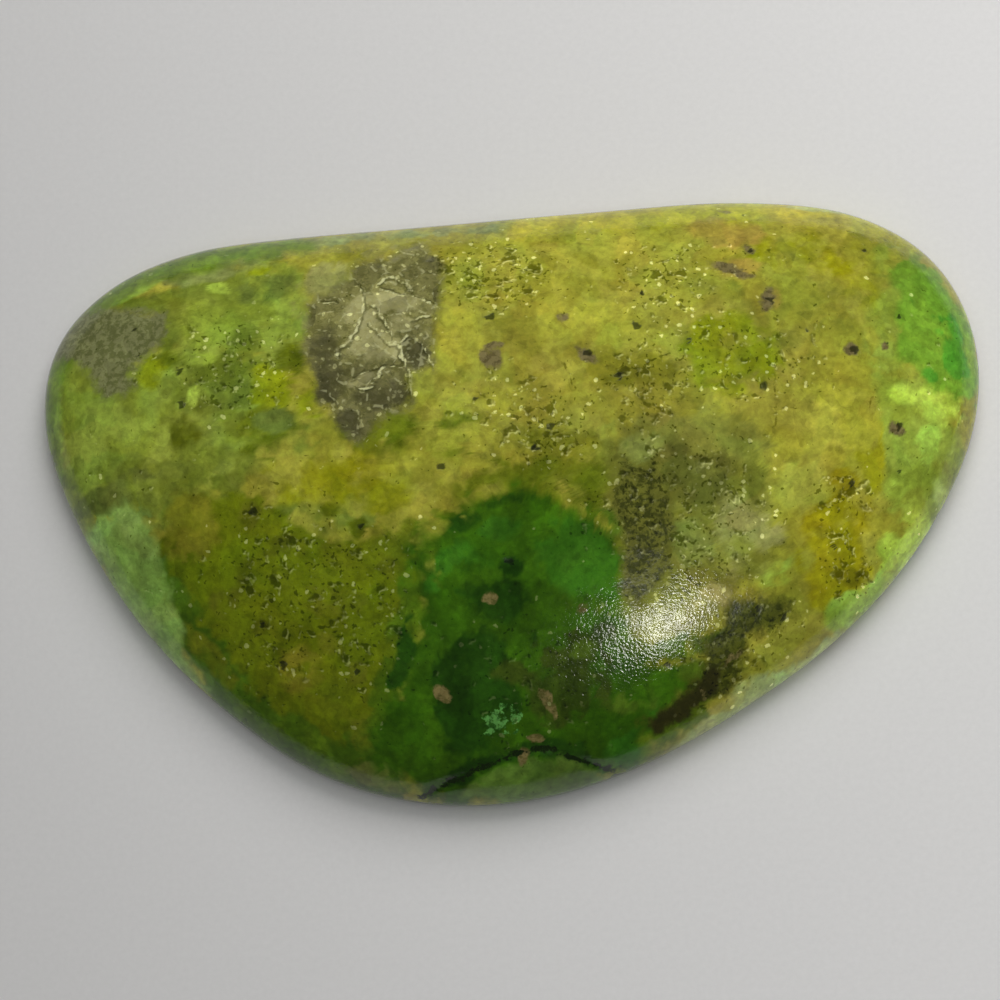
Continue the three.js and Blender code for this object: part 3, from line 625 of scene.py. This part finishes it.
def build_stone():
    """The whole stone as one closed mesh object, with the fields that its material reads."""
    rim = rim_outline()
    plan, on_rim = grid_plan(rim, FACE_CELLS, EDGE_CROWDING)
    x, y = plan.T.copy()
    depth = np.zeros_like(x)
    depth[~on_rim] = depth_inside(rim, x[~on_rim], y[~on_rim])
    rise = (depth / depth.max()) ** DOME_POWER
    wave = sum(share * np.sin(along_x * x + along_y * y + phase) for along_x, along_y, phase, share in WAVES)
    dome = EDGE_HEIGHT + (HEIGHT - EDGE_HEIGHT + UNEVENNESS * wave) * rise
    points = [np.column_stack([plan, dome])]
    faces = [grid_quads(FACE_CELLS, 0, True)]

    # The edge, ring by ring
    above = np.array(grid_border(FACE_CELLS))
    border = plan[above]
    along = np.roll(border, -1, 0) - np.roll(border, 1, 0)
    outward = np.stack([along[:, 1], -along[:, 0]], 1) / np.hypot(*along.T)[:, None]
    count = len(plan)
    for drawn_in, height in EDGE_RINGS:
        ring = border - outward * drawn_in
        below = np.arange(RIM_POINTS) + count
        points.append(np.column_stack([ring, np.full(RIM_POINTS, height)]))
        faces.append(np.stack([above, below, np.roll(below, -1), np.roll(above, -1)], 1))
        above, count = below, count + RIM_POINTS

    # The flat back, whose border meets every fourth point of the last ring
    back_rim = np.roll(ring - outward * BACK_MARGIN, -RIM_POINTS // 8, 0)[::BACK_SHARE]
    back_plan, _ = grid_plan(back_rim, BACK_CELLS, 0)
    points.append(np.column_stack([back_plan, np.zeros(len(back_plan))]))
    faces.append(grid_quads(BACK_CELLS, count, False))
    inner = np.array(grid_border(BACK_CELLS)) + count
    inner_next = np.roll(inner, -1)
    outer = [np.roll(above, -i)[::BACK_SHARE] for i in range(BACK_SHARE + 1)]
    stitches = [
        (outer[0], inner, outer[1]), (outer[1], inner, outer[2]), (outer[2], inner, inner_next),
        (outer[2], inner_next, outer[3]), (outer[3], inner_next, outer[4]),
    ]
    points = np.vstack(points)
    quads = np.vstack(faces).tolist()
    triangles = np.vstack([np.stack(stitch, 1) for stitch in stitches]).tolist()

    colour, field = mineral_fields(points)
    points[:len(plan), 2] += relief(points[:len(plan)], field) * smooth(depth / EDGE_FADE)

    mesh = bpy.data.meshes.new("stone")
    mesh.from_pydata((points * MM).tolist(), [], quads + triangles)
    mesh.shade_smooth()
    for name, values in field.items():
        attribute = mesh.attributes.new(name, "FLOAT", "POINT")
        attribute.data.foreach_set("value", values.astype(np.float32))
    attribute = mesh.attributes.new("minerals", "FLOAT_COLOR", "POINT")
    colour = np.column_stack([colour, np.ones(len(colour))])
    attribute.data.foreach_set("color", colour.astype(np.float32).ravel())
    stone = bpy.data.objects.new("stone", mesh)
    bpy.context.scene.collection.objects.link(stone)
    return stone


def mix(colour, shade, share):
    return colour + (shade - colour) * share[:, None]


def mineral_fields(points):
    """The minerals' mixed colour, with painted light and shade in places, at each point of the mesh, and the
    fields that the material reads.
    """
    drop = np.clip(EDGE_HEIGHT - points[:, 2], 0, None)
    x, y = points[:, 0] + DIP[0] * drop, points[:, 1] + DIP[1] * drop
    warp_x = sum(reach * noise(x, y, size, seed) for seed, (reach, size) in enumerate(WARPS, 11))
    warp_y = sum(reach * noise(x, y, size, seed) for seed, (reach, size) in enumerate(WARPS, 21))
    ragged = 0.7 * rough_noise(x, y, 1.4, 51) + 0.6 * plates(x + warp_x, y + warp_y, 0.9, 52)
    swirled_x = x + SWIRL * noise(x, y, 3.1, 61) + warp_x
    swirled_y = y + SWIRL * noise(x, y, 3.1, 62) + warp_y

    colour = np.tile(BASE[0][:3], (len(x), 1))
    for number, layer in enumerate([dict(shades=BASE)] + LAYERS):
        mottle = 0.8 * rough_noise(swirled_x, swirled_y, 2.2, 70 + number)
        mottle = smooth(0.5 + mottle + 0.5 * plates(swirled_x, swirled_y, 1.3, 110 + number))
        shade = mix(np.array(layer["shades"][:1])[:, :3], np.array(layer["shades"][1])[:3], mottle)
        share = np.ones_like(x)
        if number:
            middle = 0.5 if "clouds" in layer else 0.0
            strength = layer_field(layer, x + warp_x, y + warp_y)
            near = smooth(3 * strength) if "clouds" in layer else 1.0
            strength = strength + layer["wobble"] * ragged * near
            share = smooth((strength - middle) / (2 * layer["soft"]) + 0.5)
        colour = mix(colour, shade, share)
    field = {layer["name"]: layer_field(layer, x + warp_x, y + warp_y) for layer in CRISP_LAYERS}
    field["pitted"] = clouds_at(PITTED, x + 2 * warp_x, y + 2 * warp_y)
    bent_x = x + 0.3 * warp_x + JAG * rough_noise(x, y, 0.8, 14)
    bent_y = y + 0.3 * warp_y + JAG * rough_noise(x, y, 0.8, 24)
    veins = np.array([side_of_path(vein, bent_x, bent_y) for vein in VEINS])
    nearest = np.take_along_axis(veins, np.abs(veins).argmin(0)[None], 0)[0]
    field["vein"] = np.abs(nearest)
    field["vein_side"] = np.clip(nearest / 0.12, -1, 1)
    field["crack"] = distance_to_path(CRACK, x + 0.5 * warp_x, y + 0.5 * warp_y)
    hairlines = [distance_to_path(line, x + warp_x, y + warp_y) for line in HAIRLINES]
    field["hairline"] = np.min(hairlines, axis=0)
    field["back"] = smooth((drop - 0.8) / 0.4)

    # Clouding: lumps that let through more or less light, or lean to green or to ochre
    light = 1 + CLOUDING[0] * rough_noise(swirled_x, swirled_y, 1.7, 81)
    light += CLOUDING[1] * rough_noise(x, y, 0.6, 91, 3)
    # Painted light: the colour made lighter under its clouds
    light += PAINTED_LIGHT_SHARE * clouds_at(PAINTED_LIGHT_CLOUDS, x, y)
    light += CLOUDING[2] * plates(swirled_x, swirled_y, 1.9, 82)
    light += CLOUDING[3] * plates(swirled_x, swirled_y, 0.8, 83)
    lean = LEANING[0] * rough_noise(swirled_x, swirled_y, 2.6, 101)
    lean += LEANING[1] * plates(swirled_x, swirled_y, 1.5, 102)
    colour = colour * light[:, None] * np.stack([1 + lean, 1 - 0.3 * lean, 1 + 0.2 * lean], 1)
    return np.clip(colour, 0, 1), field


def relief(face, field):
    """How far each point of the face stands above the smooth dome, or lies below it."""
    x, y = face[:, 0], face[:, 1]
    count = len(face)
    pit_share, pit_depth = sink_pits(PITS, x, y, 31)
    field["pit"] = np.zeros(len(field["vein"]))
    field["pit"][:count] = pit_share
    crackled = smooth(field["crackled"][:count] / 0.5 + 0.5)
    umber = smooth(np.maximum(field["umber"], field["low_umber"])[:count] + 0.5)
    grain = noise(x, y, 0.7, 41) + 0.6 * noise(x, y, 0.35, 42)
    vein = np.exp(-(field["vein"][:count] / VEIN_REACH) ** 2)
    crack = np.exp(-(field["crack"][:count] / CRACK_REACH) ** 2)
    height = crackled * (CRACKLED_GRAIN * grain - CRACKLED_DEPTH + VEIN_RISE * vein)
    height += umber * (UMBER_GRAIN * grain - UMBER_DEPTH) - CRACK_DEPTH * crack - pit_depth
    return height + POLISH_WAVES * noise(x, y, 1.6, 43)


class Paint:
    """A material's nodes. Each call adds a node and gives its output."""

    def __init__(self, name):
        self.material = bpy.data.materials.new(name)
        self.material.use_nodes = True
        self.tree = self.material.node_tree
        self.tree.nodes.clear()

    def node(self, kind, inputs, output=0, **settings):
        node = self.tree.nodes.new(kind)
        for name, value in settings.items():
            setattr(node, name, value)
        for socket, value in inputs.items():
            if isinstance(value, bpy.types.NodeSocket):
                self.tree.links.new(value, node.inputs[socket])
            else:
                node.inputs[socket].default_value = value
        return node.outputs[output]

    def millimetres(self):
        """The place in the object's own frame."""
        place = self.node("ShaderNodeTexCoord", {}, "Object")
        return self.node("ShaderNodeVectorMath", {0: place, "Scale": 1 / MM}, operation="SCALE")

    def math(self, operation, a, b=0.0, c=0.0):
        return self.node("ShaderNodeMath", {0: a, 1: b, 2: c}, operation=operation)

    def noise(self, place, size, detail=4.0, roughness=0.6, output="Fac"):
        inputs = {"Vector": place, "Scale": 1 / size, "Detail": detail, "Roughness": roughness}
        return self.node("ShaderNodeTexNoise", inputs, output)

    def cells(self, place, size, output="Distance", feature="F1"):
        inputs = {"Vector": place, "Scale": 1 / size}
        return self.node("ShaderNodeTexVoronoi", inputs, output, feature=feature)

    def field(self, name):
        return self.node("ShaderNodeAttribute", {}, "Fac", attribute_name=name)

    def ramp(self, value, low, high):
        """0 below low, 1 above high, and smooth between."""
        inputs = {"Value": value, "From Min": low, "From Max": high}
        return self.node("ShaderNodeMapRange", inputs, interpolation_type="SMOOTHSTEP")

    def mix(self, a, b, share, blend="MIX"):
        inputs = {0: share, 6: a, 7: b}
        return self.node("ShaderNodeMix", inputs, 2, data_type="RGBA", blend_type=blend)

    def finish(self, shader):
        output = self.tree.nodes.new("ShaderNodeOutputMaterial")
        self.tree.links.new(shader, output.inputs["Surface"])
        return self.material

    def about_zero(self, noise):
        """A noise's value moved from round a half to round zero, and doubled."""
        return self.math("SUBTRACT", self.math("MULTIPLY", noise, 2.0), 1.0)

    def total(self, first, *others):
        for other in others:
            first = self.math("ADD", first, other)
        return first

    def product(self, first, *others):
        for other in others:
            first = self.math("MULTIPLY", first, other)
        return first

    def lowered(self, field, start, drop):
        """A threshold that drops where a field is strong."""
        return self.math("MULTIPLY_ADD", field, -drop, start)

    def moved(self, place, noise, reach):
        """A place shifted by a colour noise."""
        inputs = {0: noise, 1: (reach, reach, reach), 2: place}
        return self.node("ShaderNodeVectorMath", inputs, operation="MULTIPLY_ADD")

    def scaled(self, colour, share):
        return self.node("ShaderNodeVectorMath", {0: colour, "Scale": share}, operation="SCALE")

    def tinted(self, colour, tint, share):
        """The colour multiplied by a tint, as far as the share says."""
        return self.mix(colour, self.mix(colour, tint, 1.0, "MULTIPLY"), share)


# Sizes of the stone's grain
SWIRL_SIZE = 1.2
SWIRL_REACH = 0.5
WOBBLE_SIZE = 0.55
CLOUD_SIZE = 0.45
FLAKE_SIZE = 0.9
CHIP_SIZE = 0.38
PLATE_SIZE = 1.4
SPECK_SIZE = 0.75
SMALL_SPECK_SIZE = 0.3
PATCH_SIZE = 0.42
POLISH_SIZE = 0.16
# A speck's pale rim is a painted glint on one side of it
RIM_SHIFT = (-0.07, 0.08, 0.0)  # from a dark speck to its pale rim

# What the grain, with its painted shade and painted glints, does to the colour below it
SPECK_AND_SHADE_TINT = (0.4, 0.42, 0.22, 1.0)
PIT_SHADE_TINT = (0.2, 0.22, 0.12, 1.0)
VEIN_SHADOW_TINT = (0.45, 0.46, 0.38, 1.0)
HAIRLINE_TINT = (0.45, 0.45, 0.25, 1.0)
GLINT_LIGHT = (1.2, 1.2, 0.55)
VEIN_COLOUR = rgb(204, 204, 148)
CRACK_COLOUR = rgb(20, 36, 6)


def stone_material():
    """The stone's minerals, with its grain, specks and polish."""
    paint = Paint("chrysocolla")
    place = paint.millimetres()
    swirl = paint.noise(place, SWIRL_SIZE, 2.0, 0.6, output="Color")
    bent = paint.moved(place, swirl, SWIRL_REACH)
    wobble = paint.about_zero(paint.noise(place, WOBBLE_SIZE, 3.0, 0.65))
    cloud = paint.noise(bent, CLOUD_SIZE, 3.0, 0.68)
    pitted = paint.field("pitted")

    colour = paint.node("ShaderNodeAttribute", {}, "Color", attribute_name="minerals")
    worn = None
    for layer in CRISP_LAYERS:
        middle = 0.5 if "clouds" in layer else 0.0
        field = paint.field(layer["name"])
        ragged = paint.math("MULTIPLY", wobble, layer["wobble"])
        if "clouds" in layer:
            ragged = paint.math("MULTIPLY", ragged, paint.ramp(field, 0.05, 0.35))
        field = paint.math("ADD", field, ragged)
        share = paint.ramp(field, middle - layer["soft"], middle + layer["soft"])
        shade = paint.mix(*layer["shades"], paint.ramp(cloud, 0.4, 0.6))
        colour = paint.mix(colour, shade, share)
        if layer["name"] in WORN:
            worn = share if worn is None else paint.math("MAXIMUM", worn, share)

    # Flakes, chips and plates of slightly different tone, and clouding in them
    flakes = paint.cells(bent, FLAKE_SIZE, "Color")
    chips = paint.cells(bent, CHIP_SIZE, "Color")
    veined = paint.ramp(paint.field("crackled"), -0.3, 0.3)
    plates_tone = paint.about_zero(paint.cells(bent, PLATE_SIZE, "Color"))
    light = paint.total(
        paint.math("MULTIPLY", flakes, 0.3),
        paint.math("MULTIPLY", chips, 0.22),
        paint.math("MULTIPLY", cloud, 1.1),
        paint.math("MULTIPLY", plates_tone, paint.math("MULTIPLY", veined, 0.35)),
        0.19,
    )
    colour = paint.scaled(colour, light)

    # Dark specks, partly darker mineral and partly painted shade of small pits, thickest where small pits
    # crowd, and painted shade in the open pits
    low = paint.lowered(pitted, start=0.68, drop=0.16)
    high = paint.math("ADD", low, 0.13)
    dark = paint.ramp(paint.noise(bent, SPECK_SIZE, 2.0), low, high)
    beside_place = paint.node("ShaderNodeVectorMath", {0: bent, 1: RIM_SHIFT}, operation="ADD")
    beside = paint.ramp(paint.noise(beside_place, SPECK_SIZE, 2.0), low, high)
    glint_rims = paint.math("MULTIPLY", beside, paint.math("SUBTRACT", 1.0, dark))
    low = paint.lowered(pitted, start=0.72, drop=0.13)
    small = paint.ramp(paint.noise(bent, SMALL_SPECK_SIZE, 1.0), low, paint.math("ADD", low, 0.07))
    colour = paint.tinted(colour, SPECK_AND_SHADE_TINT, paint.math("MAXIMUM", dark, small))
    pit = paint.math("ADD", paint.field("pit"), paint.math("MULTIPLY", wobble, 0.5))
    colour = paint.tinted(colour, PIT_SHADE_TINT, paint.ramp(pit, 0.25, 0.8))

    # A painted glint at one side of some specks, and pale chips, partly painted glints
    patchy = paint.noise(place, PATCH_SIZE, 1.0, 0.6)
    low = paint.lowered(pitted, start=0.5, drop=0.08)
    glint_rims = paint.math("MULTIPLY", glint_rims, paint.ramp(patchy, low, paint.math("ADD", low, 0.05)))
    crowded = paint.math("MAXIMUM", pitted, paint.math("MULTIPLY", veined, 1.6))
    low = paint.lowered(crowded, start=0.978, drop=0.2)
    chosen = paint.node("ShaderNodeSeparateColor", {0: chips})
    chosen = paint.ramp(chosen, low, paint.math("ADD", low, 0.02))
    near = paint.math("MULTIPLY_ADD", wobble, 0.7, chips.node.outputs["Distance"])
    pale_chips_and_glints = paint.math("MULTIPLY", paint.ramp(near, 0.34, 0.2), chosen)
    grey = paint.node("ShaderNodeRGBToBW", {0: colour})
    added = paint.scaled(GLINT_LIGHT, grey)
    bright = paint.node("ShaderNodeVectorMath", {0: colour, 1: added}, operation="ADD")
    colour = paint.mix(colour, bright, paint.math("MAXIMUM", glint_rims, pale_chips_and_glints))

    # Veins, pale with a shaded side, and crazing between them
    away = paint.math("ADD", paint.field("vein"), paint.math("MULTIPLY", wobble, 0.14))
    side = paint.ramp(paint.field("vein_side"), 0.0, -0.9)
    shadow = paint.product(paint.ramp(away, 0.26, 0.12), side, veined)
    colour = paint.tinted(colour, VEIN_SHADOW_TINT, shadow)
    vein = paint.math("MULTIPLY", paint.ramp(away, 0.1, 0.02), paint.math("MULTIPLY", veined, 0.8))
    vein = paint.math("MULTIPLY", vein, paint.ramp(cloud, 0.3, 0.48))
    craze = paint.ramp(paint.cells(bent, PLATE_SIZE, "Distance", "DISTANCE_TO_EDGE"), 0.07, 0.02)
    craze = paint.product(craze, veined, paint.ramp(patchy, 0.5, 0.62), 0.3)
    colour = paint.mix(colour, VEIN_COLOUR, paint.math("MAXIMUM", vein, craze))

    # Hairlines and the crack
    hairline = paint.math("MULTIPLY_ADD", wobble, 0.15, paint.field("hairline"))
    colour = paint.tinted(colour, HAIRLINE_TINT, paint.ramp(hairline, 0.1, 0.02))
    ragged = paint.math("MULTIPLY", paint.about_zero(cloud), 0.3)
    crack = paint.total(paint.field("crack"), paint.math("MULTIPLY", wobble, 0.4), ragged)
    colour = paint.mix(colour, CRACK_COLOUR, paint.ramp(crack, 0.17, 0.04))

    # Fine unevenness of the polish, which breaks its highlight into specks
    fine = paint.noise(place, POLISH_SIZE, 1.0, 0.6)
    normal = paint.node("ShaderNodeBump", {"Strength": 0.37, "Distance": 0.03 * MM, "Height": fine})
    rough = paint.math("ADD", paint.math("MULTIPLY", paint.field("pit"), 0.35), 0.1)
    rough = paint.math("ADD", rough, paint.math("MULTIPLY", worn, 0.15))
    rough = paint.math("ADD", rough, paint.math("MULTIPLY", paint.field("back"), 0.35))
    shader = paint.node("ShaderNodeBsdfPrincipled", {
        "Base Color": colour,
        "Roughness": rough,
        "Normal": normal,
        "IOR": 1.5,
        "Subsurface Weight": 0.12,
        "Subsurface Radius": (1.0, 1.2, 0.4),
        "Subsurface Scale": 0.8 * MM,
    })
    return paint.finish(shader)


# The card's painted light, brighter towards +X as if the lamps fell stronger there: at the origin, what is
# added for each millimetre along x, and its limits
CARD_PAINTED_LIGHT = 1.03
CARD_PAINTED_LIGHT_SLOPE = 0.0042
CARD_PAINTED_LIGHT_LIMITS = (0.9, 1.17)
CARD_TOOTH = 0.35


def card_material():
    """Pale matt card with a faint tooth, and painted light that makes it a little lighter towards +X."""
    paint = Paint("card")
    place = paint.millimetres()
    tooth = paint.noise(place, CARD_TOOTH, 5.0, 0.65)
    colour = paint.mix(rgb(197, 196, 194), rgb(207, 206, 204), tooth)
    along = paint.node("ShaderNodeSeparateXYZ", {0: place})
    # Painted light: the card made brighter towards +X
    lighter = paint.math("MULTIPLY_ADD", along, CARD_PAINTED_LIGHT_SLOPE, CARD_PAINTED_LIGHT)
    lighter = paint.math("MINIMUM", paint.math("MAXIMUM", lighter, CARD_PAINTED_LIGHT_LIMITS[0]), CARD_PAINTED_LIGHT_LIMITS[1])
    normal = paint.node("ShaderNodeBump", {"Strength": 0.2, "Distance": 0.02 * MM, "Height": tooth})
    return paint.finish(paint.node("ShaderNodeBsdfPrincipled", {
        "Base Color": paint.scaled(colour, lighter),
        "Roughness": 0.8,
        "Normal": normal,
        "Specular IOR Level": 0.2,
    }))


def build_card():
    half = CARD_SIZE / 2 * MM
    mesh = bpy.data.meshes.new("card")
    corners = [(-half, -half, 0), (half, -half, 0), (half, half, 0), (-half, half, 0)]
    mesh.from_pydata(corners, [], [(0, 1, 2, 3)])
    card = bpy.data.objects.new("card", mesh)
    card.data.materials.append(card_material())
    bpy.context.scene.collection.objects.link(card)
    card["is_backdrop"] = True


def aim(thing, target):
    """Turns a lamp or camera to look at a point, with the picture's top towards +Y."""
    thing.rotation_euler = (Vector(target) - thing.location).to_track_quat("-Z", "Y").to_euler()


def add_lamp(name, place, size, power, colour, glossy=True, diffuse=True, height=None):
    light = bpy.data.lights.new(name, "AREA")
    light.shape = "ELLIPSE"
    light.size = size * MM
    light.size_y = (height or size) * MM
    light.energy = power
    light.color = colour
    lamp = bpy.data.objects.new(name, light)
    lamp.location = [value * MM for value in place]
    aim(lamp, (0, 0, 0))
    lamp.visible_glossy = glossy
    lamp.visible_diffuse = diffuse
    bpy.context.scene.collection.objects.link(lamp)


def build_studio():
    """Dim surroundings, a broad lamp towards +Y, a broader one overhead, and a narrow one for the glint."""
    world = bpy.data.worlds.new("studio")
    world.use_nodes = True
    background = world.node_tree.nodes["Background"]
    background.inputs["Color"].default_value = (0.97, 0.98, 1.0, 1.0)
    background.inputs["Strength"].default_value = 0.06
    bpy.context.scene.world = world
    add_lamp("side_lamp", (42, 160, 205), 210, 0.39, (1.0, 0.99, 0.99), glossy=False)
    add_lamp("high_lamp", (0, 0, 800), 1000, 2.75, (0.98, 0.99, 1.0), glossy=False)
    add_lamp("small_lamp", (193, -218, 421), 28, 0.27, (1.0, 0.99, 0.94), diffuse=False, height=160)
    bpy.context.scene.view_settings.view_transform = "Standard"


def build_camera():
    data = bpy.data.cameras.new("camera")
    data.sensor_width = SENSOR_WIDTH
    data.lens = SENSOR_WIDTH * CAMERA_SCALE * CAMERA_DISTANCE / PICTURE_WIDTH
    data.clip_start = 0.01
    camera = bpy.data.objects.new("camera", data)
    target = Vector(CAMERA_TARGET)
    elevation = math.radians(CAMERA_ELEVATION)
    back = Vector((0, -math.cos(elevation), math.sin(elevation)))
    camera.location = (target + back * CAMERA_DISTANCE) * MM
    aim(camera, target * MM)
    bpy.context.scene.collection.objects.link(camera)
    bpy.context.scene.camera = camera


build_camera()
build_studio()
build_card()
stone = build_stone()
stone.data.materials.append(stone_material())
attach(stone, "root")
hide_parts(NODE)

({"cad": [list(corner) for corner in cad_box],
           "visual": [list(corner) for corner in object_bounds()]})
